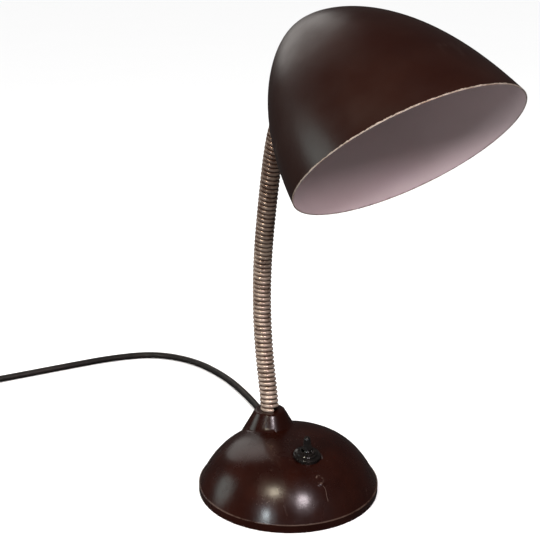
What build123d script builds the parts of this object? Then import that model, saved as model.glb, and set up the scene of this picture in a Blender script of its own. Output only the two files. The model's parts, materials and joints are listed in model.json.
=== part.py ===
from build123d import *
import os
from math import atan2, cos, degrees, hypot, pi, radians, sin, sqrt, tan

os.makedirs("parts", exist_ok=True)

# Gooseneck table safelight. Millimetres, +Z up, front of the lamp towards -Y.
# Origin: centre of the foot, on the surface that the lamp stands on.

# Base: a moulded dome with a foot band, a conical boss at the back and three screw posts
base_radius = 75.0
foot_lift = 0.4
band_top = 6.5
band_step = 0.8
dome_rise = 37.7
dome_wall = 3.4
boss_y = 34.5
boss_top = 56.5
boss_foot_radius = 20.4
boss_top_radius = 12.6
boss_edge_fillet = 2.4
boss_pad_radius = 13.0
boss_pad_bottom = 33.0
post_circle_radius = 54.0
post_radius = 4.5
post_count = 3
post_first_angle = 30.0
screw_radius = 1.5
screw_head_radius = 3.0
screw_head_height = 1.3
screw_depth = 11.0

# Underside: felt, steel plate, cast-iron weight
felt_radius = 66.0
felt_thickness = 1.6
plate_thickness = 1.2
plate_edge_gap = 0.6
weight_radius = 60.0
weight_thickness = 12.0
weight_post_gap = 2.0
weight_notch_x = (-2.0, 34.0)
weight_notch_y = 30.0

# Cord exit at the back, turned to one side, and the clamp inside
cord_diameter = 6.8
exit_turn = 18.0
exit_dip = 8.0
exit_radius = 72.0
exit_height = 11.6
relief_length = 27.0
relief_radius = 6.0
relief_tip_radius = 4.5
relief_flange_radius = 7.5
relief_flange_inset = 11.0
relief_flange_thickness = 2.0
relief_groove_count = 3
relief_groove_depth = 0.8
tail_length = 27.0
clamp_width = 20.0
clamp_depth = 9.0
clamp_rise = 4.5

# Switch on the front slope of the dome
switch_y = -32.0
switch_ring_radius = 11.0
switch_ring_height = 3.0
switch_step_radius = 8.2
switch_step_height = 1.7
switch_collar_radius = 6.0
switch_collar_height = 1.6
switch_knurl_count = 36
switch_thread_radius = 5.0
switch_body_radius = 11.0
switch_body_height = 17.0
switch_pad_radius = 12.5
switch_pad_thickness = 2.0
lever_height = 13.5
lever_tip_radius = 2.5
lever_foot_radius = 4.0
lever_ball_radius = 3.2
lever_pin_radius = 0.8
lever_throw = 24.0
lever_tail = 7.0

# Neck: ribbed flexible tube made of links that hinge in the grooves between the ribs
rib_pitch = 3.75
rib_crest_radius = 7.95
rib_half_width = 1.12
rib_root_radius = 6.3
core_radius = 6.6
core_bore_radius = 4.7
link_ribs = [7] * 10 + [6, 4]
link_turns = [-7.0, 5.0, 6.0, 5.5, 5.0, 4.0, 2.0, 1.0, 7.5, 19.5, 27.0, 3.0]
neck_start_lean = -8.0
neck_seat = 0.3
link_gap = 1.5
spigot_radius = 4.35
spigot_bore_radius = 3.2
nipple_radius = 5.0
nipple_bore_radius = 3.4
nipple_bottom = 22.0
washer_radius = 11.0
washer_thickness = 1.5
nut_across_flats = 14.0
nut_thickness = 4.0

# Head: ferrule, shade clamped between it and a washer, lamp holder and lamp
ferrule_radius = 8.8
ferrule_length = 7.5
shade_gap = 0.4
shade_radius = 81.1
shade_length = 202.4
shade_nose_power = 2.656
shade_side_power = 1.426
shade_wall = 0.8
shade_mouth = 142.0
shade_mouth_tilt = 21.8
shade_entry = 27.0
shade_roll = 6.2
head_washer_radius = 9.0
holder_radius = 19.5
holder_start = 16.0
holder_cap_length = 13.0
holder_skirt_length = 20.0
holder_wall = 2.6
core_thickness = 8.0
screw_shell_radius = 14.2
screw_shell_wall = 0.5
screw_shell_length = 17.0
bulb_cap_radius = 13.1
bulb_cap_length = 22.0
bulb_globe_radius = 22.5
bulb_length = 70.0
bulb_glass_wall = 0.9

# Cord on the table: corners of its route, a neat coil of the rest, a tie and a plug
cord_route = [
    (40.0, 123.3), (45.5, 176.0), (45.5, 229.0), (34.0, 283.0), (4.0, 322.0),
    (-42.0, 333.5), (-102.0, 332.0), (-164.0, 329.6),
]
coil_centre = (-232.0, 282.2)
coil_middle_radius = 40.0
coil_turns_across = 3
coil_layers = 2
coil_turns = 5.25
tie_width = 7.0
tie_thickness = 1.2
plug_radius = 18.0
plug_body_length = 30.0
plug_sleeve_length = 26.0
plug_pin_radius = 2.4
plug_pin_length = 19.0
plug_pin_spacing = 19.0

running_gap = 0.3
shaft_gap = 0.05
fit_gap = 0.1


def save(name, shape):
    export_step(shape, "parts/" + name + ".step")


def turned(points):
    return revolve(make_face(Polyline(*[(r, 0, z) for r, z in points], close=True)), Axis.Z)


def rod(radius, low, high):
    return Pos(0, 0, low) * Cylinder(radius, high - low, align=(Align.CENTER, Align.CENTER, Align.MIN))


def tube(radius, bore, low, high):
    return rod(radius, low, high) - rod(bore, low - 1, high + 1)


def hexagon(across_flats, low, high):
    return Pos(0, 0, low) * extrude(RegularPolygon(across_flats / sqrt(3), 6), high - low)


def block(x, y, z):
    return Pos((x[0] + x[1]) / 2, (y[0] + y[1]) / 2, (z[0] + z[1]) / 2) * Box(
        x[1] - x[0], y[1] - y[0], z[1] - z[0])


# ---------------------------------------------------------------- base shell
def dome_height(r, edge, rise):
    return band_top + rise * (1 - (r / edge) ** 4)


dome_edge = base_radius - band_step
inner_edge = base_radius - band_step - dome_wall
inner_rise = dome_rise - dome_wall
dome_shares = (0.97, 0.91, 0.82, 0.7, 0.55, 0.35)


def dome_curve(edge, rise):
    points = [(edge * s, 0, dome_height(edge * s, edge, rise)) for s in dome_shares]
    start_slope = Vector(-edge / 4, 0, rise)
    return Spline((edge, 0, band_top), *points, (0, 0, band_top + rise),
                  tangents=(start_slope, Vector(-1, 0, 0)))


outer_curve = dome_curve(dome_edge, dome_rise)
inner_curve = dome_curve(inner_edge, inner_rise)
band_curve = Polyline((dome_edge, 0, band_top), (base_radius, 0, band_top), (base_radius, 0, foot_lift),
                      (inner_edge, 0, foot_lift), (inner_edge, 0, band_top))
top_curve = Line((0, 0, band_top + dome_rise), (0, 0, band_top + inner_rise))
shell = revolve(make_face([outer_curve, inner_curve, band_curve, top_curve]), Axis.Z)
dome_solid = revolve(make_face([outer_curve, Polyline((dome_edge, 0, band_top), (0, 0, band_top),
                                                      (0, 0, band_top + dome_rise))]), Axis.Z)

boss_foot = dome_height(boss_y + boss_foot_radius, dome_edge, dome_rise) - 2
boss_slope = (boss_foot_radius - boss_top_radius) / (boss_top - dome_height(boss_y, dome_edge, dome_rise))
boss_low_radius = boss_top_radius + boss_slope * (boss_top - boss_foot)
boss = turned([(0, boss_foot), (boss_low_radius, boss_foot), (boss_top_radius, boss_top), (0, boss_top)])
boss = fillet(boss.edges().sort_by(Axis.Z)[-1], boss_edge_fillet)
boss = Pos(0, boss_y, 0) * boss
inside = revolve(make_face([inner_curve, Polyline((inner_edge, 0, band_top), (0, 0, band_top),
                                                  (0, 0, band_top + inner_rise))]), Axis.Z)
pad = (Pos(0, boss_y, 0) * rod(boss_pad_radius, boss_pad_bottom, boss_top - 8)) & dome_solid

switch_slope = degrees(atan2(4 * dome_rise * (-switch_y / dome_edge) ** 3 / dome_edge, 1))
switch_seat = dome_height(-switch_y, dome_edge, dome_rise) - 0.9
switch_place = Pos(0, switch_y, switch_seat) * Rot(switch_slope, 0, 0)
switch_pad = (switch_place * rod(switch_pad_radius, -dome_wall - switch_pad_thickness, 0)) & dome_solid

post_angles = [post_first_angle + i * 360 / post_count for i in range(post_count)]
post_spots = [Rot(0, 0, a) * Pos(post_circle_radius, 0, 0) for a in post_angles]
plate_bottom = felt_thickness
plate_top = plate_bottom + plate_thickness
post_top = dome_height(post_circle_radius, inner_edge, inner_rise) + 1.2
posts = [spot * rod(post_radius, plate_top, post_top) for spot in post_spots]

exit_place = (Rot(0, 0, -exit_turn) * Pos(0, exit_radius, exit_height)
              * Rot(-90 - exit_dip, 0, 0))

shell = shell + (boss - inside) + pad + switch_pad + posts
shell -= Pos(0, boss_y, 0) * rod(nipple_radius + fit_gap, 0, boss_top + 5)
shell -= switch_place * rod(switch_thread_radius + fit_gap, -20, 12)
shell -= switch_place * rod(switch_ring_radius + fit_gap, 0, 6)
for spot in post_spots:
    shell -= spot * rod(screw_radius, 0, plate_top + screw_depth)
shell -= exit_place * rod(relief_radius + fit_gap, -12, 12)
save("base_shell", shell)

# ---------------------------------------------------------------- underside
plate = rod(inner_edge - plate_edge_gap, plate_bottom, plate_top)
felt = rod(felt_radius, 0, felt_thickness)
weight = rod(weight_radius, plate_top, plate_top + weight_thickness)
screws = []
for spot in post_spots:
    plate -= spot * rod(screw_radius + 0.2, 0, plate_top + 1)
    felt -= spot * rod(screw_head_radius + 1, -1, felt_thickness + 1)
    weight -= spot * rod(post_radius + weight_post_gap, 0, plate_top + weight_thickness + 1)
    head = rod(screw_head_radius, plate_bottom - screw_head_height, plate_bottom)
    slot = block((-screw_head_radius, screw_head_radius), (-0.4, 0.4),
                 (plate_bottom - screw_head_height - 1, plate_bottom - screw_head_height + 0.6))
    screws.append(spot * (head + rod(screw_radius, plate_bottom, plate_top + screw_depth - 1) - slot))
weight -= block(weight_notch_x, (weight_notch_y, weight_radius + 5), (0, 40))
save("base_plate", plate)
save("felt_pad", felt)
save("ballast_weight", weight)
save("base_plate_screws", Compound(children=screws))

# ---------------------------------------------------------------- cord exit
cord_radius = cord_diameter / 2
relief_tip = relief_length
groove_pitch = relief_length / (relief_groove_count + 3)
wall_inside = -relief_flange_inset
relief_profile = [(cord_radius, wall_inside - relief_flange_thickness),
                  (relief_flange_radius, wall_inside - relief_flange_thickness),
                  (relief_flange_radius, wall_inside), (relief_radius, wall_inside), (relief_radius, 3.0)]
relief_profile += [(relief_tip_radius, relief_tip), (cord_radius, relief_tip)]
relief = turned(relief_profile)
for i in range(relief_groove_count):
    s = 3.0 + groove_pitch * (i + 1.2)
    r = relief_radius + (relief_tip_radius - relief_radius) * (s - 3.0) / (relief_tip - 3.0)
    relief -= tube(r + 2, r - relief_groove_depth, s, s + groove_pitch / 2.4)
save("cord_strain_relief", exit_place * relief)
tail = rod(cord_radius, -tail_length, relief_tip)
save("cord_tail", exit_place * tail)

clamp_spot = exit_place * Pos(0, 0, -tail_length + clamp_depth / 2 + 2)
clamp_at = clamp_spot.position
clamp_top = clamp_at.Z + cord_radius + clamp_rise
clamp = Pos(clamp_at.X, clamp_at.Y, 0) * Rot(0, 0, -exit_turn) * block(
    (-clamp_width / 2, clamp_width / 2), (-clamp_depth / 2, clamp_depth / 2), (plate_top, clamp_top))
clamp -= exit_place * tail
clamp_screws = []
for side in (-1, 1):
    spot = Pos(clamp_at.X, clamp_at.Y, 0) * Rot(0, 0, -exit_turn) * Pos(side * (cord_radius + 3.3), 0, 0)
    clamp -= spot * rod(1.5, clamp_top - 9, clamp_top + 1)
    clamp_screws.append(spot * (rod(1.5, clamp_top - 8, clamp_top) + rod(2.8, clamp_top, clamp_top + 1.8)))
save("cord_clamp", clamp)
save("cord_clamp_screws", Compound(children=clamp_screws))

# ---------------------------------------------------------------- switch
ring_top = switch_ring_height
step_top = ring_top + switch_step_height
collar_top = step_top + switch_collar_height
body_top = -dome_wall - switch_pad_thickness
ring = turned([(0, 0), (switch_ring_radius, 0), (switch_ring_radius, ring_top - 0.5),
               (switch_ring_radius - 0.6, ring_top), (switch_step_radius, ring_top),
               (switch_step_radius, step_top - 0.4), (switch_step_radius - 0.4, step_top), (0, step_top)])
ring -= rod(switch_thread_radius + shaft_gap, -1, step_top + 1)
knurl = block((switch_ring_radius - 0.45, switch_ring_radius + 1), (-0.35, 0.35), (0.4, ring_top - 0.4))
ring -= [Rot(0, 0, i * 360 / switch_knurl_count) * knurl for i in range(switch_knurl_count)]
save("switch_ring_nut", switch_place * ring)

pivot = step_top - 0.6
cup = lever_ball_radius + running_gap
bush = rod(switch_thread_radius, body_top, step_top) + rod(switch_collar_radius, step_top, collar_top)
bush -= rod(cup, body_top - 1, pivot)
bush -= Pos(0, 0, pivot) * Sphere(cup)
bush -= Pos(0, 0, pivot) * turned([(0, 0), (cup, 0), (cup + 1.9, collar_top - pivot + 0.5),
                                   (0, collar_top - pivot + 0.5)])
pin_length = 2 * switch_thread_radius - 0.6
pin = Pos(0, 0, pivot) * Rot(0, 90, 0) * rod(lever_pin_radius, -pin_length / 2, pin_length / 2)
bush -= pin
save("switch_bushing", switch_place * bush)
save("switch_pin", switch_place * pin)

lever = turned([(0, 0), (2.0, 0), (2.0, 2.2), (lever_foot_radius, 3.6), (3.3, 6.5),
                (lever_tip_radius, lever_height - 1), (lever_tip_radius - 0.9, lever_height), (0, lever_height)])
lever += Sphere(lever_ball_radius)
lever += rod(1.2, -lever_tail, 0)
lever -= Rot(0, 90, 0) * rod(lever_pin_radius + shaft_gap, -5, 5)
lever_place = switch_place * Pos(0, 0, pivot) * Rot(-lever_throw / 2, 0, 0)
save("switch_lever", lever_place * lever)

case = rod(switch_body_radius, body_top - switch_body_height, body_top)
case -= rod(switch_thread_radius + shaft_gap, body_top - 4, body_top + 1)
case -= rod(4.4, body_top - 11, body_top)
case -= block((-12, 12), (-0.8, 0.8), (body_top - switch_body_height - 1, body_top - switch_body_height + 1.5))
save("switch_body", switch_place * case)
terminals = []
for side in (-1, 1):
    spot = Pos(side * 6.5, 4.0, body_top - switch_body_height)
    terminals.append(switch_place * spot * (rod(1.6, -3.2, 0) + rod(2.6, -4.6, -3.2)))
save("switch_terminals", Compound(children=terminals))

# ---------------------------------------------------------------- neck
def arc_place(length, turn, s):
    bend = length / radians(turn)
    angle = radians(turn) * s / length
    return Pos(0, -bend * (1 - cos(angle)), bend * sin(angle)) * Rot(degrees(angle), 0, 0)


def curved_tube(length, turn, radius, bore, start, end):
    bend = length / radians(turn)
    face = Circle(radius) - Circle(bore)
    share = (end - start) / length
    side = 1 if turn > 0 else -1
    piece = revolve(face, Axis((0, -bend, 0), (side, 0, 0)), abs(turn) * share)
    return arc_place(length, turn, start) * piece


rib_bore_radius = (core_bore_radius + rib_root_radius) / 2
rib = turned([(rib_bore_radius, -rib_half_width), (rib_root_radius, -rib_half_width), (rib_crest_radius, 0),
              (rib_root_radius, rib_half_width), (rib_bore_radius, rib_half_width)])
spigot = turned([(spigot_bore_radius, -7), (core_bore_radius + 0.5, -7), (core_bore_radius + 0.5, -5.2),
                 (spigot_radius - 0.2, -2.5), (spigot_radius, 0), (spigot_radius - 0.45, 3.0),
                 (spigot_bore_radius, 3.0)])
link_count = len(link_ribs)
places = [Pos(0, boss_y, boss_top + neck_seat) * Rot(neck_start_lean, 0, 0)]
for k in range(link_count):
    length = link_ribs[k] * rib_pitch
    turn = link_turns[k]
    link = curved_tube(length, turn, core_radius, core_bore_radius, link_gap / 2, length - link_gap / 2)
    link += [arc_place(length, turn, (i + 0.5) * rib_pitch) * rib for i in range(link_ribs[k])]
    if k < link_count - 1:
        link += arc_place(length, turn, length) * spigot
    save("neck_link_%02d" % (k + 1), places[k] * link)
    places.append(places[k] * arc_place(length, turn, length))
for k in range(1, link_count + 1):
    p = places[k].position
    print("neck hinge", k, [round(v, 3) for v in (p.X, p.Y, p.Z)], "lean", round(places[k].orientation.X, 3))

nipple_lean = Pos(0, 0, boss_top) * Rot(neck_start_lean, 0, 0)
nipple = rod(nipple_radius, nipple_bottom, boss_top) + nipple_lean * rod(core_bore_radius - fit_gap, -3, 7)
nipple -= rod(nipple_bore_radius, nipple_bottom - 1, boss_top - 6)
nipple -= nipple_lean * rod(nipple_bore_radius - 0.4, -10, 8)
save("neck_nipple", Pos(0, boss_y, 0) * nipple)
washer_low = boss_pad_bottom - washer_thickness
save("neck_washer", Pos(0, boss_y, 0) * tube(washer_radius, nipple_radius + fit_gap, washer_low, boss_pad_bottom))
nut = hexagon(nut_across_flats, washer_low - nut_thickness, washer_low)
nut -= rod(nipple_radius + shaft_gap, 0, boss_top)
save("neck_lock_nut", Pos(0, boss_y, 0) * nut)

# ---------------------------------------------------------------- head fittings, along the end of the neck
head = places[-1]
wall_at = ferrule_length + shade_gap
wall_inner = wall_at + shade_wall
washer_dish = 1.0
washer_at = wall_inner + washer_dish
ferrule = turned([(nipple_bore_radius, -6), (core_bore_radius - fit_gap, -6), (core_bore_radius - fit_gap, 0.2),
                  (core_radius, 0.2), (ferrule_radius - 0.8, 1.6), (ferrule_radius - 0.8, 4.6),
                  (ferrule_radius, 5.6), (ferrule_radius, ferrule_length), (nipple_radius, ferrule_length),
                  (nipple_radius, holder_start + 8), (nipple_bore_radius, holder_start + 8)])
save("head_ferrule", head * ferrule)
save("shade_washer", head * tube(head_washer_radius, nipple_radius + fit_gap, washer_at, washer_at + 1.2))
head_nut = hexagon(nut_across_flats, washer_at + 1.2, washer_at + 4.2) - rod(nipple_radius + shaft_gap, 0, 40)
save("shade_nut", head * head_nut)


# ---------------------------------------------------------------- shade
def shade_half_width(t):
    return shade_radius * (1 - (1 - t / shade_length) ** shade_nose_power) ** (1 / shade_side_power)


def shade_slope(t):
    step = 0.01
    return (shade_half_width(t + step) - shade_half_width(t - step)) / (2 * step)


mouth_reach = shade_mouth + shade_radius * tan(radians(shade_mouth_tilt)) + 4
stations = [0.03, 0.085, 0.16, 0.26, 0.38, 0.52, 0.68, 0.84, 1.0]
outer_points = [(shade_half_width(s * mouth_reach), s * mouth_reach) for s in stations]
inner_points = []
for r, t in outer_points:
    slope = shade_slope(t)
    size = hypot(1, slope)
    inner_points.append((r - shade_wall / size, t + shade_wall * slope / size))
outer_line = Spline((0, 0, 0), *[(r, 0, t) for r, t in outer_points],
                    tangents=(Vector(1, 0, 0), Vector(shade_slope(mouth_reach), 0, 1)))
inner_line = Spline((0, 0, shade_wall), *[(r, 0, t) for r, t in inner_points],
                    tangents=(Vector(1, 0, 0), Vector(shade_slope(mouth_reach), 0, 1)))
rim_line = Line(outer_line @ 1, inner_line @ 1)
nose_line = Line((0, 0, 0), (0, 0, shade_wall))
egg = revolve(make_face([outer_line, inner_line, rim_line, nose_line]), Axis.Z)
mouth_cut = Pos(0, 0, shade_mouth) * Rot(shade_mouth_tilt, 0, 0) * Box(
    4 * shade_radius, 4 * shade_radius, 4 * shade_radius, align=(Align.CENTER, Align.CENTER, Align.MIN))
egg -= mouth_cut
entry_slope = shade_slope(shade_entry)
entry_angle = degrees(atan2(1, entry_slope))
egg_place = (head * Rot(0, 0, shade_roll) * Pos(0, 0, wall_at) * Rot(entry_angle, 0, 0)
             * Pos(0, shade_half_width(shade_entry), -shade_entry))
egg = egg_place * egg
egg -= head * rod(nipple_radius + running_gap, wall_at - 4, wall_at + 6)
save("shade_shell", egg)
print("shade axis from the neck's end", round(entry_angle, 3))

# ---------------------------------------------------------------- lamp holder
cap_end = holder_start + holder_cap_length
cap = turned([(nipple_radius + shaft_gap, holder_start), (11.5, holder_start), (holder_radius - 1, cap_end - 5),
              (holder_radius, cap_end - 4), (holder_radius, cap_end), (holder_radius - holder_wall, cap_end),
              (holder_radius - holder_wall, cap_end - 4.5), (10.5, holder_start + 3),
              (nipple_radius + shaft_gap, holder_start + 3)])
save("holder_cap", head * cap)
core_low = cap_end - 4
core_high = core_low + core_thickness
core = rod(holder_radius - holder_wall - 0.1, core_low, cap_end) + rod(screw_shell_radius - 1.4, cap_end, core_high)
core -= [Pos(side * 8, 0, 0) * rod(1.7, core_low - 1, core_high + 1) for side in (-1, 1)]
save("holder_core", head * core)
contact = rod(3.5, core_high, core_high + 0.8) + rod(1.6, core_high, core_high + 2.6)
save("holder_contact", head * contact)
shell_low = cap_end
screw_shell = tube(screw_shell_radius, screw_shell_radius - screw_shell_wall, shell_low,
                   shell_low + screw_shell_length)
save("holder_screw_shell", head * screw_shell)
skirt_end = cap_end + holder_skirt_length
skirt = turned([(screw_shell_radius + fit_gap, cap_end), (holder_radius, cap_end), (holder_radius, cap_end + 5),
                (holder_radius - 0.8, cap_end + 6), (holder_radius - 1.6, skirt_end - 3),
                (holder_radius - 0.4, skirt_end - 2.4), (holder_radius - 0.4, skirt_end),
                (screw_shell_radius + fit_gap, skirt_end)])
save("holder_skirt", head * skirt)

# ---------------------------------------------------------------- lamp
bulb_low = core_high + 2.6
bulb_top = bulb_low + bulb_length
globe_at = bulb_top - bulb_globe_radius
cap_low = bulb_low + 4
bulb_cap_end = bulb_low + bulb_cap_length
insulator = turned([(0, bulb_low + 1.2), (4.2, bulb_low + 1.2), (9.0, cap_low), (0, cap_low)])
save("bulb_insulator", head * insulator)
tip = turned([(0, bulb_low), (2.4, bulb_low), (4.0, bulb_low + 1.2), (0, bulb_low + 1.2)])
save("bulb_contact", head * tip)
cap_wall = 0.6
metal_cap = turned([(0, cap_low), (9.0, cap_low), (bulb_cap_radius, cap_low + 2.5), (bulb_cap_radius, bulb_cap_end),
                    (bulb_cap_radius - cap_wall, bulb_cap_end), (bulb_cap_radius - cap_wall, cap_low + 3),
                    (8.8, cap_low + cap_wall), (0, cap_low + cap_wall)])
save("bulb_cap", head * metal_cap)
neck_radius = bulb_cap_radius - cap_wall - 0.1
neck_low = bulb_cap_end - 8
join_angle = 38.0


def glass_profile(offset):
    r = bulb_globe_radius - offset
    low = (r * sin(radians(join_angle)), 0, globe_at - r * cos(radians(join_angle)))
    side = Spline((neck_radius - offset, 0, bulb_cap_end), low,
                  tangents=(Vector(0, 0, 1), Vector(cos(radians(join_angle)), 0, sin(radians(join_angle)))))
    round_part = ThreePointArc(low, (r, 0, globe_at), (0, 0, globe_at + r))
    return [Line((neck_radius - offset, 0, neck_low), (neck_radius - offset, 0, bulb_cap_end)), side, round_part]


glass_lines = glass_profile(0) + glass_profile(bulb_glass_wall)
glass_lines.append(Line((neck_radius, 0, neck_low), (neck_radius - bulb_glass_wall, 0, neck_low)))
glass_lines.append(Line((0, 0, bulb_top), (0, 0, bulb_top - bulb_glass_wall)))
save("bulb_glass", head * revolve(make_face(glass_lines), Axis.Z))
stem = turned([(0, cap_low + 2), (7.5, cap_low + 2), (7.5, cap_low + 4), (3.2, cap_low + 9), (2.2, globe_at - 12),
               (3.0, globe_at - 8), (0, globe_at - 8)])
save("bulb_stem", head * stem)
filament = Pos(0, 0, globe_at - 2) * Torus(6.5, 0.5)
legs = [Rot(0, 0, a) * Pos(4.6, 0, globe_at - 5.5) * Rot(0, 32, 0) * rod(0.4, -4.6, 4.2) for a in (0, 180)]
save("bulb_filament", head * (filament + legs))

# ---------------------------------------------------------------- cord on the table
tip_location = exit_place * Pos(0, 0, relief_tip)
tip_at = tip_location.position
outer_turn_radius = coil_middle_radius + (coil_turns_across - 1) / 2 * cord_diameter
meet = (coil_centre[0] + 6, coil_centre[1] + outer_turn_radius)
corners = [(tip_at.X, tip_at.Y, tip_at.Z)]
corners += [(x, y, cord_radius) for x, y in cord_route]
corners += [(meet[0], meet[1], cord_radius)]


def corner_radius(before, at, after):
    one = Vector(*at) - Vector(*before)
    two = Vector(*after) - Vector(*at)
    turn = one.get_angle(two)
    return turn, 0.45 * min(one.length, two.length) / tan(radians(turn) / 2)


turns_radii = [corner_radius(*corners[i - 1:i + 2]) for i in range(1, len(corners) - 1)]
for i, (turn, radius) in enumerate(turns_radii):
    run = (Vector(*corners[i + 1]) - Vector(*corners[i])).length
    print("cord corner", i + 1, "run", round(run, 1), "turn", round(turn, 1), "radius", round(radius, 1))
cord_path = FilletPolyline(*corners, radius=[r for _, r in turns_radii])
section = Plane(origin=corners[0], z_dir=Vector(*corners[1]) - Vector(*corners[0])) * Circle(cord_radius)
cord_solid = sweep(section, path=cord_path)
print("cord volume", round(cord_solid.volume), "against", round(pi * cord_radius ** 2 * cord_path.length),
      "length", round(cord_path.length, 1), "lowest", round(cord_solid.bounding_box().min.Z, 3))
save("cord", cord_solid)

coil_half = coil_turns_across * cord_diameter / 2
coil_height = coil_layers * cord_diameter
coil_section = Plane.XZ * (Pos(coil_middle_radius, coil_height / 2) * RectangleRounded(
    2 * coil_half, coil_height, cord_radius * 0.8))
coil = Pos(coil_centre[0], coil_centre[1], 0) * revolve(coil_section, Axis.Z)
save("cord_coil", coil)
coil_length = coil_turns * 2 * pi * coil_middle_radius
print("cord length in all", round(cord_path.length + coil_length))

tie_spot = Pos(coil_centre[0], coil_centre[1], 0) * Rot(0, 0, 20) * Pos(coil_middle_radius, 0, 0)
tie = block((-coil_half - tie_thickness, coil_half + tie_thickness), (-tie_width / 2, tie_width / 2),
            (0, coil_height + tie_thickness))
tie = fillet(tie.edges().filter_by(Axis.Y), 2.5)
tie -= block((-coil_half, coil_half), (-tie_width, tie_width), (tie_thickness, coil_height))
save("coil_tie", tie_spot * tie)

plug_place = Pos(coil_centre[0] - outer_turn_radius, coil_centre[1] - 6, plug_radius) * Rot(90, 0, 0)
sleeve_end = plug_sleeve_length
body_end = sleeve_end + plug_body_length
plug = turned([(0, 0), (cord_radius + 1.2, 0), (cord_radius + 3.2, sleeve_end - 2), (plug_radius - 7, sleeve_end + 4),
               (plug_radius - 4.5, body_end - 13), (plug_radius - 1, body_end - 9), (plug_radius, body_end - 7),
               (plug_radius, body_end - 1), (plug_radius - 1, body_end), (0, body_end)])
pins = []
for side in (-1, 1):
    spot = Pos(side * plug_pin_spacing / 2, 0, 0)
    plug -= spot * rod(plug_pin_radius, body_end - 8, body_end + 1)
    pins.append(plug_place * spot * (rod(plug_pin_radius, body_end - 8, body_end + plug_pin_length - 2)
                                     + Pos(0, 0, body_end + plug_pin_length - 2)
                                     * turned([(0, 0), (plug_pin_radius, 0), (plug_pin_radius - 1.2, 2), (0, 2)])))
save("plug_body", plug_place * plug)
save("plug_pins", Compound(children=pins))
print("relief tip", [round(v, 2) for v in (tip_at.X, tip_at.Y, tip_at.Z)])
for name, place in (("switch pivot", switch_place * Pos(0, 0, pivot)), ("head", head)):
    p = place.position
    print(name, [round(v, 3) for v in (p.X, p.Y, p.Z)], "lean", round(place.orientation.X, 3))
print("switch slope", round(switch_slope, 3))
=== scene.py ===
import json
from math import atan2, cos, hypot, pi, radians, sin

import bmesh
import bpy
from mathutils import Matrix, Vector

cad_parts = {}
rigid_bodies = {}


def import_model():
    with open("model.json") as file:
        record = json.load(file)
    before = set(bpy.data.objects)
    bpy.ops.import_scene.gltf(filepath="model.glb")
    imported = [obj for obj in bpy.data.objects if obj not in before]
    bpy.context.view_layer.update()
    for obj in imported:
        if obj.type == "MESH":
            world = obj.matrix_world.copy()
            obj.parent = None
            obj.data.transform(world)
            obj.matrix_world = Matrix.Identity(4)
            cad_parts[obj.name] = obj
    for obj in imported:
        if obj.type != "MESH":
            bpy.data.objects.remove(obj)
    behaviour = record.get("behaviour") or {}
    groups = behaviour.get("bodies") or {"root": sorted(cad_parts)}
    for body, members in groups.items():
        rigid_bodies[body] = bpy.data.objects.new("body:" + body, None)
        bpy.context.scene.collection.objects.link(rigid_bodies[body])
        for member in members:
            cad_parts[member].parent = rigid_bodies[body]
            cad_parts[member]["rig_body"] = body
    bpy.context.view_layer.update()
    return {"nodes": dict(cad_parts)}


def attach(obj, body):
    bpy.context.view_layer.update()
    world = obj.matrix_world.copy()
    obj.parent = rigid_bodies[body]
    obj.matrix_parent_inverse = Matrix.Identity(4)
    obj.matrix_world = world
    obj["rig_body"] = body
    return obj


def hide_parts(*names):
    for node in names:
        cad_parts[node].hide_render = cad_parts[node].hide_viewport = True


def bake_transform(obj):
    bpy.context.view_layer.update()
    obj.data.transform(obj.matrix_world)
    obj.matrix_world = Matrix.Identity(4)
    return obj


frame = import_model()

# A gooseneck darkroom safelight: moulded base, ribbed neck, egg-shaped shade. Metres, in the lamp's own frame.
scene = bpy.context.scene
nodes = frame["nodes"]
mm = 0.001

# Camera: low and to the left of the front, level with the horizon.
cameraPlace = dict(point=(-0.3612, -0.6852, 0.4301), looks=(0.4287, 0.8538, -0.2955), lens=68.45, sensor=36,
                   near=0.02, far=200)
cameraData = bpy.data.cameras.new("camera")
cameraData.lens = cameraPlace["lens"]
cameraData.sensor_width = cameraPlace["sensor"]
cameraData.clip_start = cameraPlace["near"]
cameraData.clip_end = cameraPlace["far"]
camera = bpy.data.objects.new("camera", cameraData)
camera.location = cameraPlace["point"]
camera.rotation_euler = Vector(cameraPlace["looks"]).to_track_quat("-Z", "Y").to_euler()
scene.collection.objects.link(camera)
scene.camera = camera


def link(name, data):
    obj = bpy.data.objects.new(name, data)
    scene.collection.objects.link(obj)
    return obj


def settled(obj):
    # the object as it stands, modifiers applied, as a new plain mesh object of the same name
    graph = bpy.context.evaluated_depsgraph_get()
    mesh = bpy.data.meshes.new_from_object(obj.evaluated_get(graph), preserve_all_data_layers=True, depsgraph=graph)
    name = obj.name
    bpy.data.objects.remove(obj)
    mesh.name = name
    return link(name, mesh)


def smooth(mesh, angle=32):
    mesh.shade_smooth()
    mesh.set_sharp_from_angle(angle=radians(angle))


def lathe(points, segments=96, closed=True):
    # a turned form: (radius, height) points round the Z axis
    form = bmesh.new()
    rings = []
    for radius, height in points:
        if radius < 1e-7:
            rings.append([form.verts.new((0, 0, height))])
        else:
            rings.append([form.verts.new((radius * cos(2 * pi * i / segments), radius * sin(2 * pi * i / segments),
                                          height)) for i in range(segments)])
    pairs = list(zip(rings, rings[1:]))
    if closed:
        pairs.append((rings[-1], rings[0]))
    for low, high in pairs:
        if len(low) == 1 and len(high) == 1:
            continue
        for i in range(segments):
            j = (i + 1) % segments
            corners = [low[i % len(low)], low[j % len(low)], high[j % len(high)], high[i % len(high)]]
            form.faces.new(list(dict.fromkeys(corners)))
    bmesh.ops.recalc_face_normals(form, faces=form.faces)
    return form


def toObject(form, name, place=None):
    mesh = bpy.data.meshes.new(name)
    if place is not None:
        form.transform(place)
    form.to_mesh(mesh)
    form.free()
    return link(name, mesh)


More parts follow.
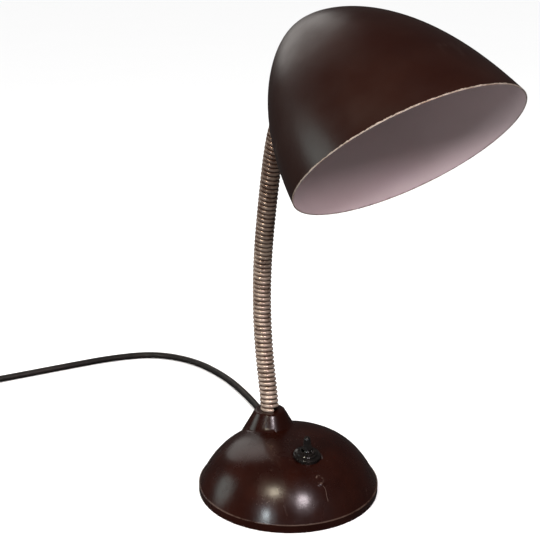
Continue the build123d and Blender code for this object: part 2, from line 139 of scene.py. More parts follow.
def softened(nodeName, material, bevel=0.0, segments=2, angle=32):
    # a merged, softly edged copy of a CAD piece, which then stands for it
    name = nodeName + "_finished"
    form = bmesh.new()
    form.from_mesh(nodes[nodeName].data)
    bmesh.ops.remove_doubles(form, verts=form.verts, dist=2e-6)
    bmesh.ops.dissolve_limit(form, angle_limit=radians(0.4), verts=form.verts, edges=form.edges)
    obj = toObject(form, name)
    obj.data.materials.clear()
    obj.data.materials.append(material)
    for face in obj.data.polygons:
        face.material_index = 0
    if bevel:
        rounding = obj.modifiers.new("edges", "BEVEL")
        rounding.width = bevel
        rounding.segments = segments
        rounding.limit_method = "ANGLE"
        rounding.angle_limit = radians(40)
        obj = settled(obj)
    smooth(obj.data, angle)
    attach(obj, nodes[nodeName]["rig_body"])
    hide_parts(nodeName)
    return obj


# Node helpers. Patterns are in metres on Object coordinates.
def add(tree, kind, inputs=None, **settings):
    node = tree.nodes.new(kind)
    for key, value in settings.items():
        setattr(node, key, value)
    for socket, value in (inputs or {}).items():
        if isinstance(value, bpy.types.NodeSocket):
            tree.links.new(value, node.inputs[socket])
        else:
            node.inputs[socket].default_value = value
    return node


def place(tree, stretch=(1, 1, 1), turn=(0, 0, 0), shift=(0, 0, 0)):
    coordinates = add(tree, "ShaderNodeTexCoord").outputs["Object"]
    return add(tree, "ShaderNodeMapping", {"Vector": coordinates, "Scale": stretch, "Rotation": turn,
                                           "Location": shift}).outputs["Vector"]


def noise(tree, scale, detail=3, rough=0.5, where=None):
    return add(tree, "ShaderNodeTexNoise", {"Vector": where or place(tree), "Scale": scale, "Detail": detail,
                                            "Roughness": rough}).outputs["Fac"]


def band(tree, value, low, high, out=(0, 1)):
    return add(tree, "ShaderNodeMapRange", {"Value": value, "From Min": low, "From Max": high, "To Min": out[0],
                                            "To Max": out[1]}, interpolation_type="SMOOTHSTEP").outputs["Result"]


def reckon(tree, operation, a, b=0.5, clamp=False):
    return add(tree, "ShaderNodeMath", {0: a, 1: b}, operation=operation, use_clamp=clamp).outputs[0]


def times(tree, a, b, clamp=False):
    return reckon(tree, "MULTIPLY", a, b, clamp)


def plus(tree, a, b):
    return reckon(tree, "ADD", a, b)


def minus(tree, a, b):
    return reckon(tree, "SUBTRACT", a, b)


def most(tree, a, b):
    return reckon(tree, "MAXIMUM", a, b)


def mix(tree, share, a, b):
    return add(tree, "ShaderNodeMix", {0: share, 6: a, 7: b}, data_type="RGBA").outputs[2]


def flecks(tree, scale, size, patchScale, patchLow, patchHigh):
    # small specks that gather in loose patches
    cell = add(tree, "ShaderNodeTexVoronoi", {"Vector": place(tree), "Scale": scale,
                                              "Randomness": 1.0}).outputs["Distance"]
    patch = noise(tree, patchScale, 2, where=place(tree, shift=(0.3, 0.1, 0.7)))
    return times(tree, band(tree, cell, size, size * 0.7), band(tree, patch, patchLow, patchHigh))


def scratches(tree, scale, thin, turn, reach=0.66):
    # hair lines along one direction, broken up by a slow noise
    lines = noise(tree, scale, 2, 0.6, place(tree, stretch=(1, 0.035, 0.05), turn=turn))
    line = band(tree, reckon(tree, "ABSOLUTE", minus(tree, lines, 0.5)), thin, 0.0)
    patch = noise(tree, 22, 2, where=place(tree, turn=turn))
    return times(tree, line, band(tree, patch, reach, reach + 0.06))


def bump(tree, height, strength, depth, normal=None):
    inputs = {"Height": height, "Strength": strength, "Distance": depth}
    if normal is not None:
        inputs["Normal"] = normal
    return add(tree, "ShaderNodeBump", inputs).outputs["Normal"]


def newMaterial(name, **values):
    material = bpy.data.materials.new(name)
    material.use_nodes = True
    tree = material.node_tree
    shader = tree.nodes["Principled BSDF"]
    for key, value in values.items():
        shader.inputs[key.replace("_", " ")].default_value = value
    return material, tree, shader


def wire(tree, shader, **sockets):
    for key, value in sockets.items():
        tree.links.new(value, shader.inputs[key.replace("_", " ")])


def rgb(r, g, b):
    return (r, g, b, 1)


# Finishes of the base and the switch.
bakeliteLook = dict(deep=rgb(0.0085, 0.0014, 0.0006), warm=rgb(0.0135, 0.0028, 0.0014), dust=rgb(0.16, 0.11, 0.085),
                    roughness=(0.22, 0.32), speckShare=0.45, hairShare=0.16, markShare=0.3,
                    scuffAt=(-0.0008, -0.0548), scuffSize=0.0032, dripStart=-0.0035, dripEnd=-0.0125,
                    creaseHeight=0.0067)


def dripMark(tree, spot):
    # a worn ring on the front of the dome with a dried drip running down from it
    sideways = minus(tree, spot["X"], bakeliteLook["scuffAt"][0])
    forward = minus(tree, spot["Y"], bakeliteLook["scuffAt"][1])
    away = reckon(tree, "SQRT", plus(tree, times(tree, sideways, sideways), times(tree, forward, forward)))
    away = plus(tree, away, times(tree, noise(tree, 420, 3), 0.0012))
    ring = band(tree, reckon(tree, "ABSOLUTE", minus(tree, away, bakeliteLook["scuffSize"])), 0.0008, 0.0001)
    ring = times(tree, ring, band(tree, noise(tree, 300, 3), 0.42, 0.56))
    start, end = bakeliteLook["dripStart"], bakeliteLook["dripEnd"]
    below = times(tree, band(tree, forward, start, start - 0.0007), band(tree, forward, end, end + 0.001))
    wander = minus(tree, sideways, times(tree, noise(tree, 120, 2), 0.004))
    drip = reckon(tree, "ABSOLUTE", plus(tree, wander, 0.001))
    return most(tree, ring, times(tree, band(tree, drip, 0.00035, 0.0001), below))


def makeBakelite():
    material, tree, shader = newMaterial("moulded_dark_bakelite", IOR=1.45)
    look = bakeliteLook
    body = mix(tree, band(tree, noise(tree, 30, 5, 0.6), 0.35, 0.7), look["deep"], look["warm"])
    specks = flecks(tree, 340, 0.1, 22, 0.58, 0.66)
    lines = most(tree, scratches(tree, 260, 0.006, (0, 0, 0.5)), scratches(tree, 220, 0.005, (0.2, 0, 1.9)))
    marks = most(tree, times(tree, specks, look["speckShare"]), times(tree, lines, look["hairShare"]))
    spot = add(tree, "ShaderNodeSeparateXYZ", {0: place(tree)}).outputs
    marks = most(tree, marks, times(tree, dripMark(tree, spot), look["markShare"]))
    # a painted highlight: a pale line where the dome meets the foot band
    paintedCreaseHighlight = reckon(tree, "ABSOLUTE", minus(tree, spot["Z"], look["creaseHeight"]))
    paintedCreaseHighlight = times(tree, band(tree, paintedCreaseHighlight, 0.0004, 0.0001), band(tree, noise(tree, 90, 4), 0.3, 0.6))
    marks = most(tree, marks, times(tree, paintedCreaseHighlight, look["markShare"]))
    # the pale dust colour here also paints the crease highlight
    colour = mix(tree, marks, body, look["dust"])
    haze = band(tree, noise(tree, 46, 4, 0.6), 0.35, 0.75, look["roughness"])
    rough = plus(tree, haze, times(tree, marks, 0.4))
    ripple = bump(tree, noise(tree, 60, 2), 0.05, 0.002)
    normal = bump(tree, marks, 0.25, 0.0002, ripple)
    wire(tree, shader, Base_Color=colour, Roughness=rough, Normal=normal)
    return material


def makeBlackGloss():
    material, tree, shader = newMaterial("polished_black_moulding", IOR=1.5)
    cloud = band(tree, noise(tree, 220, 4, 0.6), 0.4, 0.8)
    colour = mix(tree, cloud, rgb(0.004, 0.0032, 0.003), rgb(0.012, 0.009, 0.008))
    specks = flecks(tree, 700, 0.13, 60, 0.55, 0.65)
    colour = mix(tree, times(tree, specks, 0.35), colour, rgb(0.24, 0.2, 0.17))
    rough = band(tree, noise(tree, 160, 3), 0.35, 0.75, (0.16, 0.32))
    wire(tree, shader, Base_Color=colour, Roughness=rough, Normal=bump(tree, noise(tree, 300, 3), 0.06, 0.0004))
    return material


def makeMetal(name, colour, worn, roughness, grainScale=420, metallic=1.0):
    material, tree, shader = newMaterial(name, Metallic=metallic)
    patches = band(tree, noise(tree, 90, 5, 0.65), 0.38, 0.68)
    colour = mix(tree, patches, colour, worn)
    rough = band(tree, noise(tree, 130, 4), 0.3, 0.75, roughness)
    grain = noise(tree, grainScale, 4, 0.7)
    wire(tree, shader, Base_Color=colour, Roughness=rough, Normal=bump(tree, grain, 0.12, 0.0002))
    return material


def makeFelt():
    material, tree, shader = newMaterial("green_felt", Roughness=0.95, Sheen_Weight=0.5, Sheen_Roughness=0.5)
    fibres = noise(tree, 1500, 4, 0.8)
    tufts = noise(tree, 160, 3)
    colour = mix(tree, band(tree, fibres, 0.3, 0.7), rgb(0.008, 0.022, 0.012), rgb(0.035, 0.075, 0.042))
    colour = mix(tree, band(tree, tufts, 0.55, 0.8), colour, rgb(0.055, 0.06, 0.045))
    wire(tree, shader, Base_Color=colour, Normal=bump(tree, fibres, 0.7, 0.0006))
    return material


bakelite = makeBakelite()
blackGloss = makeBlackGloss()
felt = makeFelt()
steel = makeMetal("zinc_plated_steel", rgb(0.52, 0.51, 0.49), rgb(0.30, 0.28, 0.26), (0.25, 0.5))
castIron = makeMetal("rough_cast_iron", rgb(0.06, 0.058, 0.056), rgb(0.11, 0.07, 0.05), (0.6, 0.85), 240, 0.6)
brass = makeMetal("aged_brass", rgb(0.62, 0.43, 0.17), rgb(0.36, 0.22, 0.09), (0.22, 0.5))
print("materials: base and switch")


# Finishes of the cord and the plug.
def makeRubber(name, low, high, roughness, grain):
    material, tree, shader = newMaterial(name, IOR=1.5)
    colour = mix(tree, band(tree, noise(tree, 70, 5, 0.6), 0.35, 0.7), low, high)
    dust = flecks(tree, 900, 0.16, 70, 0.48, 0.6)
    colour = mix(tree, times(tree, dust, 0.4), colour, rgb(0.20, 0.17, 0.15))
    rough = band(tree, noise(tree, 120, 3), 0.3, 0.75, roughness)
    skin = plus(tree, noise(tree, grain, 4, 0.7), times(tree, noise(tree, 140, 3), 0.7))
    wire(tree, shader, Base_Color=colour, Roughness=rough, Normal=bump(tree, skin, 0.35, 0.0003))
    return material


cordSheath = makeRubber("dark_cord_sheath", rgb(0.0045, 0.0030, 0.0026), rgb(0.0105, 0.0066, 0.0056), (0.46, 0.64),
                        1400)
cordRubber = makeRubber("black_rubber", rgb(0.008, 0.007, 0.007), rgb(0.02, 0.017, 0.016), (0.5, 0.75), 900)
plugPlastic = makeRubber("dark_moulded_plug", rgb(0.012, 0.009, 0.008), rgb(0.026, 0.019, 0.016), (0.25, 0.45), 700)

# Finishes of the neck: brown bronzing, worn bright on the crests, and lighter and more rubbed towards the foot.
neckLook = dict(lacquer=rgb(0.060, 0.026, 0.017), worn=rgb(0.20, 0.125, 0.092), bare=rgb(0.66, 0.53, 0.44),
                paintedGapShade=rgb(0.008, 0.005, 0.004), speck=rgb(0.02, 0.012, 0.01), fade=(0.32, 0.05),
                roughness=(0.26, 0.38))


def makeNeckWire():
    material, tree, shader = newMaterial("worn_bronzed_wire", Metallic=0.65)
    crest = add(tree, "ShaderNodeAttribute", attribute_name="crest").outputs["Fac"]
    height = add(tree, "ShaderNodeSeparateXYZ", {0: place(tree)}).outputs["Z"]
    # lighter towards the foot, by height
    low = band(tree, plus(tree, height, times(tree, noise(tree, 35, 3), 0.05)), *neckLook["fade"])
    patch = noise(tree, 120, 5, 0.65)
    worn = band(tree, plus(tree, times(tree, crest, 0.5), patch), 0.62, 1.12)
    body = mix(tree, low, neckLook["lacquer"], neckLook["worn"])
    rub = times(tree, worn, plus(tree, times(tree, low, 0.7), 0.25), True)
    colour = mix(tree, rub, body, neckLook["bare"])
    # painted shade: the wire darkens on its inner side, down in the gaps between turns
    paintedGapShade = band(tree, crest, 0.15, -0.45)
    colour = mix(tree, paintedGapShade, colour, neckLook["paintedGapShade"])
    specks = flecks(tree, 800, 0.2, 50, 0.5, 0.58)
    colour = mix(tree, times(tree, specks, 0.6), colour, neckLook["speck"])
    rough = band(tree, patch, 0.3, 0.75, neckLook["roughness"])
    wire(tree, shader, Base_Color=colour, Roughness=rough, Normal=bump(tree, noise(tree, 500, 3), 0.1, 0.0002))
    return material


neckWire = makeNeckWire()
neckCore = makeMetal("dark_inner_wire", rgb(0.02, 0.013, 0.010), rgb(0.045, 0.026, 0.018), (0.45, 0.7))
ferruleMetal = makeMetal("browned_ferrule", rgb(0.13, 0.085, 0.065), rgb(0.055, 0.034, 0.026), (0.25, 0.45))
print("materials: cord and neck")

# Finishes of the shade, lacquered outside and enamelled inside.
shadeLook = dict(lacquer=rgb(0.0080, 0.0017, 0.0009), thin=rgb(0.0115, 0.0034, 0.0020), scuff=rgb(0.20, 0.16, 0.13),
                 outsideRoughness=(0.30, 0.40), speckShare=0.5, hairShare=0.22, enamel=rgb(0.46, 0.37, 0.375),
                 stain=rgb(0.40, 0.315, 0.315), rust=rgb(0.10, 0.06, 0.045), insideRoughness=(0.30, 0.5),
                 bare=rgb(0.72, 0.63, 0.55), tarnish=rgb(0.34, 0.22, 0.16))


def edgeChips(tree, scale, ragged, low, high):
    # paint broken away along the rim
    edge = add(tree, "ShaderNodeAttribute", attribute_name="edgeDistance").outputs["Fac"]
    return band(tree, plus(tree, times(tree, noise(tree, scale, 4, 0.7), ragged), edge), low, high)


def makeShadeOutside():
    material, tree, shader = newMaterial("brown_lacquered_sheet", IOR=1.42)
    look = shadeLook
    body = mix(tree, band(tree, noise(tree, 26, 5, 0.62), 0.3, 0.9), look["lacquer"], look["thin"])
    specks = flecks(tree, 230, 0.075, 14, 0.6, 0.68)
    lines = most(tree, scratches(tree, 200, 0.004, (0.4, 0.3, 0.4)), scratches(tree, 170, 0.004, (1.2, 0.2, 2.2)))
    marks = most(tree, times(tree, specks, look["speckShare"]), times(tree, lines, look["hairShare"]))
    marks = most(tree, marks, edgeChips(tree, 260, 0.0024, 0.0019, 0.0014))
    colour = mix(tree, marks, body, look["scuff"])
    haze = band(tree, noise(tree, 40, 4), 0.3, 0.75, look["outsideRoughness"])
    rough = plus(tree, haze, times(tree, marks, 0.25))
    dents = bump(tree, noise(tree, 16, 2), 0.12, 0.004)
    skin = minus(tree, noise(tree, 600, 3), times(tree, marks, 0.8))
    wire(tree, shader, Base_Color=colour, Roughness=rough, Normal=bump(tree, skin, 0.08, 0.0003, dents))
    return material


def makeShadeInside():
    material, tree, shader = newMaterial("aged_grey_enamel", IOR=1.45)
    look = shadeLook
    stain = band(tree, noise(tree, 22, 5, 0.6), 0.4, 0.75)
    colour = mix(tree, times(tree, stain, 0.35), look["enamel"], look["stain"])
    marks = most(tree, flecks(tree, 260, 0.06, 16, 0.6, 0.68), edgeChips(tree, 240, 0.002, 0.0016, 0.0011))
    colour = mix(tree, times(tree, marks, 0.7), colour, look["rust"])
    rough = band(tree, noise(tree, 60, 3), 0.3, 0.75, look["insideRoughness"])
    wire(tree, shader, Base_Color=colour, Roughness=rough, Normal=bump(tree, noise(tree, 40, 3), 0.08, 0.002))
    return material


shadeOutside = makeShadeOutside()
shadeInside = makeShadeInside()
shadeRim = makeMetal("worn_bare_rim", shadeLook["bare"], shadeLook["tarnish"], (0.25, 0.5), 500, 0.7)


# Finishes of the lamp and its holder.
def makeGlass(name, colour, roughness, transmission=1.0):
    material, tree, shader = newMaterial(name, IOR=1.5, Transmission_Weight=transmission, Roughness=roughness)
    colour = mix(tree, band(tree, noise(tree, 60, 3), 0.4, 0.8), colour, rgb(*(c * 0.7 for c in colour[:3])))
    wire(tree, shader, Base_Color=colour, Normal=bump(tree, noise(tree, 50, 2), 0.04, 0.001))
    return material


def makePorcelain():
    material, tree, shader = newMaterial("glazed_porcelain", Roughness=0.15, Coat_Weight=0.3)
    colour = mix(tree, band(tree, noise(tree, 140, 4), 0.45, 0.8), rgb(0.72, 0.69, 0.62), rgb(0.5, 0.45, 0.38))
    wire(tree, shader, Base_Color=colour, Normal=bump(tree, noise(tree, 200, 3), 0.06, 0.0004))
    return material


porcelain = makePorcelain()
rubyGlass = makeGlass("ruby_glass", rgb(0.55, 0.008, 0.006), 0.08, 0.9)
clearGlass = makeGlass("clear_glass", rgb(0.95, 0.97, 0.96), 0.03)
blackGlass = makeGlass("black_insulator_glass", rgb(0.01, 0.01, 0.012), 0.1, 0.0)
bulbMetal = makeMetal("bulb_cap_metal", rgb(0.70, 0.66, 0.58), rgb(0.45, 0.40, 0.33), (0.2, 0.42))
filamentMetal = makeMetal("tungsten", rgb(0.25, 0.24, 0.23), rgb(0.12, 0.12, 0.12), (0.4, 0.6))
print("materials: shade and lamp")

# Pieces that keep their shape and take a finish.
finishes = {
    castIron: ["ballast_weight"], felt: ["felt_pad"],
    steel: ["base_plate", "base_plate_screws", "cord_clamp_screws", "switch_pin", "neck_nipple", "neck_washer",
            "neck_lock_nut", "shade_washer", "shade_nut"],
    blackGloss: ["cord_clamp", "switch_body"], cordRubber: ["cord_tail"],
    brass: ["switch_terminals", "holder_contact", "holder_screw_shell"],
    bulbMetal: ["bulb_cap", "bulb_contact"], blackGlass: ["bulb_insulator"], clearGlass: ["bulb_stem"],
    filamentMetal: ["bulb_filament"], porcelain: ["holder_core"],
}
for material, names in finishes.items():
    for name in names:
        data = nodes[name].data
        if not data.materials:
            data.materials.append(material)
        for i in range(len(data.materials)):
            data.materials[i] = material
softened("base_shell", bakelite)
softened("cord_strain_relief", cordRubber)
softened("switch_ring_nut", blackGloss, 0.12 * mm)
softened("switch_bushing", blackGloss, 0.12 * mm)
softened("switch_lever", blackGloss, 0.25 * mm, 3)
softened("head_ferrule", ferruleMetal, 0.15 * mm)
softened("holder_cap", porcelain, 0.3 * mm, 3)
softened("holder_skirt", porcelain, 0.3 * mm, 3)
softened("bulb_glass", rubyGlass)
plugBody = softened("plug_body", plugPlastic, 0.3 * mm, 3)
plugPins = softened("plug_pins", bulbMetal)
coilTie = softened("coil_tie", cordRubber, 0.2 * mm)
print("kept pieces finished")

# Cord: from the relief at the back, away on the table, round the coil and up into the plug.
cordLook = dict(diameter=6.8 * mm, perTurn=16, turnGap=6.8 * mm, lift=7.8 * mm, smoothness=8)
cordRoute = [(0.03051, 0.0939, 0.00784), (0.0400, 0.1233, 0.0034), (0.0455, 0.1760, 0.0034),
             (0.0455, 0.2290, 0.0034), (0.0340, 0.2830, 0.0034), (0.0040, 0.3220, 0.0034),
             (-0.0420, 0.3335, 0.0034), (-0.1020, 0.3320, 0.0034), (-0.1640, 0.3296, 0.0034)]
coil = dict(centre=(-0.2320, 0.2822), middle=0.0400, start=90, end=1980,
            shifts=[(390, 450, -1), (750, 810, -1), (1350, 1410, 1), (1710, 1770, 1)], climb=(1050, 1110))


def share(value, low, high):
    t = min(max((value - low) / (high - low), 0), 1)
    return t * t * (3 - 2 * t)


def coilPoint(angle):
    # three turns lie on the table from the outside in, and three more on them from the inside out
    gap = cordLook["turnGap"]
    turnRadius = coil["middle"] + gap + sum(gap * way * share(angle, a, b) for a, b, way in coil["shifts"])
    height = gap / 2 + gap * share(angle, *coil["climb"])
    height += cordLook["lift"] * share(angle, coil["end"] - 100, coil["end"])
    reach = turnRadius / cos(pi / cordLook["perTurn"])
    x, y = coil["centre"]
    return (x + reach * cos(radians(angle)), y + reach * sin(radians(angle)), height)


steps = int((coil["end"] - coil["start"]) * cordLook["perTurn"] / 360)
coilPoints = [coilPoint(coil["start"] + 360 / cordLook["perTurn"] * (i + 0.5)) for i in range(steps)]
plugTop = (coil["centre"][0] - coil["middle"] - cordLook["turnGap"], coil["centre"][1] - 6 * mm, 18 * mm)
lastPoints = [(plugTop[0], plugTop[1] + 2 * mm, plugTop[2]), (plugTop[0], plugTop[1] - 10 * mm, plugTop[2])]
cordPoints = cordRoute + coilPoints + lastPoints
cordCurve = bpy.data.curves.new("mains_cord", "CURVE")
cordCurve.dimensions = "3D"
cordCurve.resolution_u = cordLook["smoothness"]
cordCurve.bevel_depth = cordLook["diameter"] / 2
cordCurve.bevel_resolution = 5
cordCurve.use_fill_caps = True
spline = cordCurve.splines.new("NURBS")
spline.points.add(len(cordPoints) - 1)
for point, where in zip(spline.points, cordPoints):
    point.co = (*where, 1)
spline.order_u = 3
spline.use_endpoint_u = True
cordCurve.materials.append(cordSheath)
mainsCord = link("mains_cord", cordCurve)
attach(mainsCord, "base")
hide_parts("cord", "cord_coil")
print("cord laid, coil of", round((coil["end"] - coil["start"]) / 360, 2), "turns")

# Neck: a round wire wound on a hinged core, cut half-way along each link.
neckBuild = dict(start=(0.0345, 0.0568), lean=-8.0, pitch=3.75 * mm, ribs=[7] * 10 + [6, 4],
                 turns=[-7.0, 5.0, 6.0, 5.5, 5.0, 4.0, 2.0, 1.0, 7.5, 19.5, 27.0, 3.0],
                 windRadius=6.23 * mm, wireRadius=1.72 * mm, coreRadius=6.5 * mm, phase=0.25,
                 perTurn=30.0, wireSides=14, coreSides=28, lineStep=0.5 * mm)


def neckPoint(length):
    # the point of the neck's middle line that far from its foot
    y, z = neckBuild["start"]
    lean = radians(neckBuild["lean"])
    left = length
    for ribs, turn in zip(neckBuild["ribs"], neckBuild["turns"]):
        link = ribs * neckBuild["pitch"]
        run = min(left, link)
        bend = link / radians(turn)
        bent = run / bend
        y += bend * (cos(lean + bent) - cos(lean))
        z += bend * (sin(lean + bent) - sin(lean))
        lean += bent
        left -= run
        if left <= 0:
            break
    return Vector((0, y, z))


def vector(tree, operation, a, b):
    slot = "Scale" if operation == "SCALE" else 1
    return add(tree, "ShaderNodeVectorMath", {0: a, slot: b}, operation=operation)


def windingTree():
    # a wire wound round a given line, and the core inside it; "crest" is how far out a point of the wire lies
    tree = bpy.data.node_groups.new("wound wire", "GeometryNodeTree")
    sockets = {}
    for name, kind in (("Line", "Geometry"), ("Winding radius", "Float"), ("Pitch", "Float"), ("Started at", "Float"),
                       ("Wire radius", "Float"), ("Core radius", "Float"), ("Wire finish", "Material"),
                       ("Core finish", "Material")):
        sockets[name] = tree.interface.new_socket(name=name, in_out="INPUT", socket_type="NodeSocket" + kind)
    tree.interface.new_socket(name="Hose", in_out="OUTPUT", socket_type="NodeSocketGeometry")
    given = add(tree, "NodeGroupInput").outputs

    def sweep(line, sides, radius):
        ring = add(tree, "GeometryNodeCurvePrimitiveCircle", {"Resolution": sides, "Radius": radius}).outputs[0]
        return add(tree, "GeometryNodeCurveToMesh", {"Curve": line, "Profile Curve": ring,
                                                     "Fill Caps": True}).outputs[0]

    def resampled(step):
        return add(tree, "GeometryNodeResampleCurve", {"Curve": given["Line"], "Length": step},
                   mode="LENGTH").outputs[0]

    def finished(mesh, finish):
        return add(tree, "GeometryNodeSetMaterial", {"Geometry": mesh, "Material": finish}).outputs[0]

    keep = add(tree, "GeometryNodeCaptureAttribute", domain="POINT")
    keep.capture_items.new("VECTOR", "Middle")
    tree.links.new(resampled(reckon(tree, "DIVIDE", given["Pitch"], neckBuild["perTurn"])), keep.inputs["Geometry"])
    tree.links.new(add(tree, "GeometryNodeInputPosition").outputs[0], keep.inputs["Middle"])
    along = add(tree, "GeometryNodeSplineParameter").outputs["Length"]
    windings = reckon(tree, "DIVIDE", plus(tree, along, given["Started at"]), given["Pitch"])
    turned = times(tree, windings, 2 * pi)
    across = add(tree, "ShaderNodeCombineXYZ", {"X": 1.0}).outputs[0]
    tangent = add(tree, "GeometryNodeInputTangent").outputs[0]
    side = vector(tree, "CROSS_PRODUCT", across, tangent).outputs[0]
    partX = vector(tree, "SCALE", across, reckon(tree, "COSINE", turned)).outputs[0]
    partSide = vector(tree, "SCALE", side, reckon(tree, "SINE", turned)).outputs[0]
    outward = vector(tree, "ADD", partX, partSide).outputs[0]
    offset = vector(tree, "SCALE", outward, given["Winding radius"]).outputs[0]
    wound = add(tree, "GeometryNodeSetPosition", {"Geometry": keep.outputs["Geometry"], "Offset": offset}).outputs[0]
    wireMesh = sweep(wound, neckBuild["wireSides"], given["Wire radius"])
    here = add(tree, "GeometryNodeInputPosition").outputs[0]
    away = vector(tree, "DISTANCE", here, keep.outputs["Middle"]).outputs["Value"]
    crest = reckon(tree, "DIVIDE", minus(tree, away, given["Winding radius"]), given["Wire radius"])
    wireMesh = add(tree, "GeometryNodeStoreNamedAttribute", {"Geometry": wireMesh, "Name": "crest", "Value": crest},
                   data_type="FLOAT", domain="POINT").outputs[0]
    coreMesh = sweep(resampled(given["Pitch"]), neckBuild["coreSides"], given["Core radius"])
    joined = add(tree, "GeometryNodeJoinGeometry")
    tree.links.new(finished(coreMesh, given["Core finish"]), joined.inputs[0])
    tree.links.new(finished(wireMesh, given["Wire finish"]), joined.inputs[0])
    real = add(tree, "GeometryNodeRealizeInstances", {0: joined.outputs[0]}).outputs[0]
    tree.links.new(real, add(tree, "NodeGroupOutput").inputs[0])
    return tree, {name: socket.identifier for name, socket in sockets.items()}


winding, windingInputs = windingTree()


def woundPiece(name, low, high):
    line = bpy.data.curves.new(name, "CURVE")
    line.dimensions = "3D"
    count = max(2, round((high - low) / neckBuild["lineStep"]))
    run = line.splines.new("POLY")
    run.points.add(count)
    for i in range(count + 1):
        run.points[i].co = (*neckPoint(low + (high - low) * i / count), 1)
    obj = link(name, line)
    wound = obj.modifiers.new("winding", "NODES")
    wound.node_group = winding
    for key, value in (("Winding radius", neckBuild["windRadius"]), ("Pitch", neckBuild["pitch"]),
                       ("Started at", low + neckBuild["phase"] * neckBuild["pitch"]),
                       ("Wire radius", neckBuild["wireRadius"]), ("Core radius", neckBuild["coreRadius"]),
                       ("Wire finish", neckWire), ("Core finish", neckCore)):
        wound[windingInputs[key]] = value
    obj = settled(obj)
    smooth(obj.data, 50)
    return obj


linkEnds = [sum(neckBuild["ribs"][:k]) * neckBuild["pitch"] for k in range(len(neckBuild["ribs"]) + 1)]
linkMiddles = [(a + b) / 2 for a, b in zip(linkEnds, linkEnds[1:])]
linkBodies = ["base"] + ["neck_%02d" % k for k in range(2, 12)] + ["head"]
foot = woundPiece("neck_foot", 0.0, linkMiddles[0])
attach(foot, "base")
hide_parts("neck_link_01")
for k in range(len(linkBodies) - 1):
    piece = woundPiece("neck_run_%02d" % (k + 1), linkMiddles[k], linkMiddles[k + 1])
    neckPoint(linkMiddles[k])
    neckPoint(linkMiddles[k + 1])
    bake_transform(piece)
    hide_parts("neck_link_%02d" % (k + 2))
top = woundPiece("neck_top", linkMiddles[-1], linkEnds[-1])
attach(top, "head")
print("neck wound in", len(linkBodies) + 1, "runs")

# Shade: an egg of thin sheet with its end cut away at a slant, held on the neck's end.
shadeBuild = dict(radius=81.1 * mm, length=202.4 * mm, nosePower=2.656, sidePower=1.426, wall=0.8 * mm,
                  mouth=142.0 * mm, mouthTilt=21.8, entry=27.0 * mm, roll=6.2, headLean=70.5, wallAt=7.9 * mm,
                  hole=5.3 * mm, around=192, along=64)


def shadeHalfWidth(t):
    return shadeBuild["radius"] * (1 - (1 - t / shadeBuild["length"]) ** shadeBuild["nosePower"]) ** (
        1 / shadeBuild["sidePower"])


def shadeSlope(t):
    return (shadeHalfWidth(t + 1e-5) - shadeHalfWidth(max(t - 1e-5, 0))) / (1e-5 + min(t, 1e-5))


def mouthAt(angle):
    # where the slanted mouth cuts the egg's side at that angle
    tilt = radians(shadeBuild["mouthTilt"])
    low, high = 0.05, shadeBuild["length"] * 0.999
    for i in range(40):
        t = (low + high) / 2
        if (t - shadeBuild["mouth"]) * cos(tilt) - shadeHalfWidth(t) * sin(angle) * sin(tilt) < 0:
            low = t
        else:
            high = t
    return low


def turnAbout(axis, angle):
    return Matrix.Rotation(radians(angle), 4, axis)


neckEnd = neckPoint(linkEnds[-1])
head = Matrix.Translation(neckEnd) @ turnAbout("X", shadeBuild["headLean"])
entryAngle = atan2(1, shadeSlope(shadeBuild["entry"]))
shadePlace = (head @ turnAbout("Z", shadeBuild["roll"]) @ Matrix.Translation((0, 0, shadeBuild["wallAt"]))
              @ Matrix.Rotation(entryAngle, 4, "X")
              @ Matrix.Translation((0, shadeHalfWidth(shadeBuild["entry"]), -shadeBuild["entry"])))


def makeShade():
    form = bmesh.new()
    edge = form.verts.layers.float.new("edgeDistance")
    around, along, wall = shadeBuild["around"], shadeBuild["along"], shadeBuild["wall"]
    ends = [mouthAt(2 * pi * i / around) for i in range(around)]

    def ring(u, inset):
        made = []
        for i in range(around):
            t = ends[i] * u ** 2.2
            r, slope = shadeHalfWidth(t), shadeSlope(max(t, 2e-5))
            size = hypot(1, slope)
            r, height = r - inset / size, t + inset * slope / size
            a = 2 * pi * i / around
            vert = form.verts.new((r * cos(a), r * sin(a), height))
            vert[edge] = ends[i] - t
            made.append(vert)
        return made

    outer = [ring((k + 1) / along, 0.0) for k in range(along)]
    inner = [ring((k + 1) / along, wall) for k in range(along)]
    nose = [form.verts.new((0, 0, 0)), form.verts.new((0, 0, wall))]
    for vert in nose:
        vert[edge] = shadeBuild["mouth"]
    lip = []
    for i in range(around):
        middle = (outer[-1][i].co + inner[-1][i].co) / 2 + Vector((0, 0, 0.35 * wall))
        lip.append(form.verts.new(middle))

    def skin(low, high, finish, flip):
        for i in range(around):
            j = (i + 1) % around
            corners = [low[i], low[j], high[j], high[i]] if len(low) > 1 else [low[0], high[j], high[i]]
            face = form.faces.new(corners[::-1] if flip else corners)
            face.material_index = finish

    for rows, tip, finish, flip in ((outer, nose[0], 0, True), (inner, nose[1], 1, False)):
        skin([tip], rows[0], finish, flip)
        for low, high in zip(rows, rows[1:]):
            skin(low, high, finish, flip)
    skin(outer[-1], lip, 2, True)
    skin(lip, inner[-1], 2, True)
    bmesh.ops.recalc_face_normals(form, faces=form.faces)
    return toObject(form, "shade", shadePlace)


shade = makeShade()
for material in (shadeOutside, shadeInside, shadeRim):
    shade.data.materials.append(material)
cutter = toObject(lathe([(0, 0), (shadeBuild["hole"], 0), (shadeBuild["hole"], 16 * mm), (0, 16 * mm)], 48, False),
                  "hole_cutter", head)
cut = shade.modifiers.new("hole", "BOOLEAN")
cut.operation = "DIFFERENCE"
cut.solver = "EXACT"
cut.object = cutter
shade = settled(shade)
bpy.data.objects.remove(cutter)
smooth(shade.data, 40)
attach(shade, "shade")
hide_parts("shade_shell")
print("shade spun,", len(shade.data.polygons), "faces")

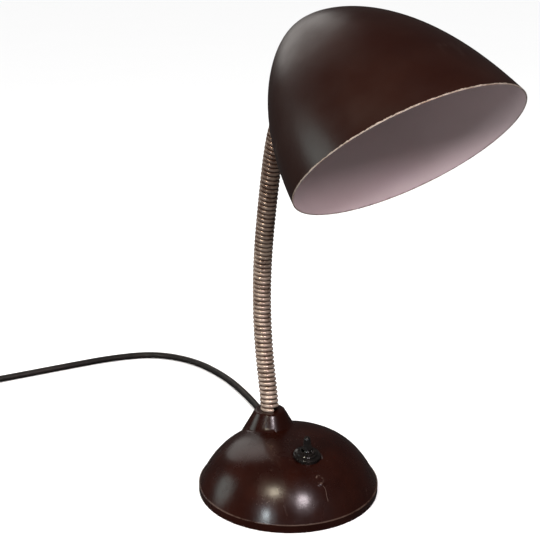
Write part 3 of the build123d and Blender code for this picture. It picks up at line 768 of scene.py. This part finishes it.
# Table, air and lights.
stage = dict(size=60.0, floor=rgb(0.88, 0.88, 0.88), mottle=rgb(0.87, 0.87, 0.87), backdrop=1.0, fill=0.45,
             reflected=0.05, sun=2.4, sunAngle=50, sunPoint=(0.15, -0.2, 1.0))
floorMaterial, floorTree, floorShader = newMaterial("pale_floor", Roughness=0.9)
wire(floorTree, floorShader, Base_Color=mix(floorTree, noise(floorTree, 3, 2), stage["floor"], stage["mottle"]))
floorForm = bmesh.new()
bmesh.ops.create_circle(floorForm, cap_ends=True, segments=96, radius=stage["size"])
floor = toObject(floorForm, "floor", Matrix.Translation((0, 0, -0.1 * mm)))
floor.data.materials.append(floorMaterial)
floor.visible_glossy = False
floor.visible_diffuse = False

world = bpy.data.worlds.new("studio")
world.use_nodes = True
air = world.node_tree
ray = add(air, "ShaderNodeLightPath").outputs
around = add(air, "ShaderNodeMapRange", {"Value": ray["Is Glossy Ray"], "To Min": stage["fill"],
                                         "To Max": stage["reflected"]}).outputs["Result"]
surround = add(air, "ShaderNodeBackground", {"Color": rgb(1, 1, 1), "Strength": around}).outputs[0]
backdrop = add(air, "ShaderNodeBackground", {"Color": rgb(1, 1, 1), "Strength": stage["backdrop"]}).outputs[0]
both = add(air, "ShaderNodeMixShader", {0: ray["Is Camera Ray"], 1: surround, 2: backdrop}).outputs[0]
air.links.new(both, air.nodes["World Output"].inputs["Surface"])
scene.world = world
scene.view_settings.view_transform = "Standard"


def aim(obj, point, target=(0, 0, 0.17)):
    obj.location = point
    obj.rotation_euler = (Vector(target) - Vector(point)).to_track_quat("-Z", "Y").to_euler()


sunData = bpy.data.lights.new("daylight", "SUN")
sunData.energy = stage["sun"]
sunData.angle = radians(stage["sunAngle"])
sun = link("daylight", sunData)
aim(sun, stage["sunPoint"], (0, 0, 0))
sun.visible_glossy = False

lamps = dict(
    key=dict(point=(-1.05, -0.55, 0.62), size=0.5, power=15.0, colour=(1.0, 0.97, 0.98), mirrored=False),
    warmSpot=dict(point=(-0.526, -0.388, 0.83), size=0.09, power=3.6, colour=(1.0, 0.90, 0.70), mirrored=True),
    pinkSpot=dict(point=(-0.069, -0.79, 0.706), size=0.16, power=4.6, colour=(1.0, 0.88, 0.93), mirrored=True),
    coolSpot=dict(point=(-0.796, -0.555, 0.445), size=0.11, power=2.0, colour=(0.84, 0.95, 1.0), mirrored=True),
    left=dict(point=(-1.10, 0.75, 0.45), size=0.6, power=2.2, colour=(0.84, 0.97, 0.93), mirrored=True),
    ceiling=dict(point=(0.0, 1.8, 1.2), size=1.4, power=6.0, colour=(1.0, 0.97, 0.93), mirrored=True),
)
for name, lamp in lamps.items():
    data = bpy.data.lights.new(name, "AREA")
    data.shape = "DISK"
    data.energy = lamp["power"]
    data.size = lamp["size"]
    data.color = lamp["colour"]
    obj = link(name, data)
    aim(obj, lamp["point"])
    obj.visible_glossy = lamp["mirrored"]
print("stage lit")
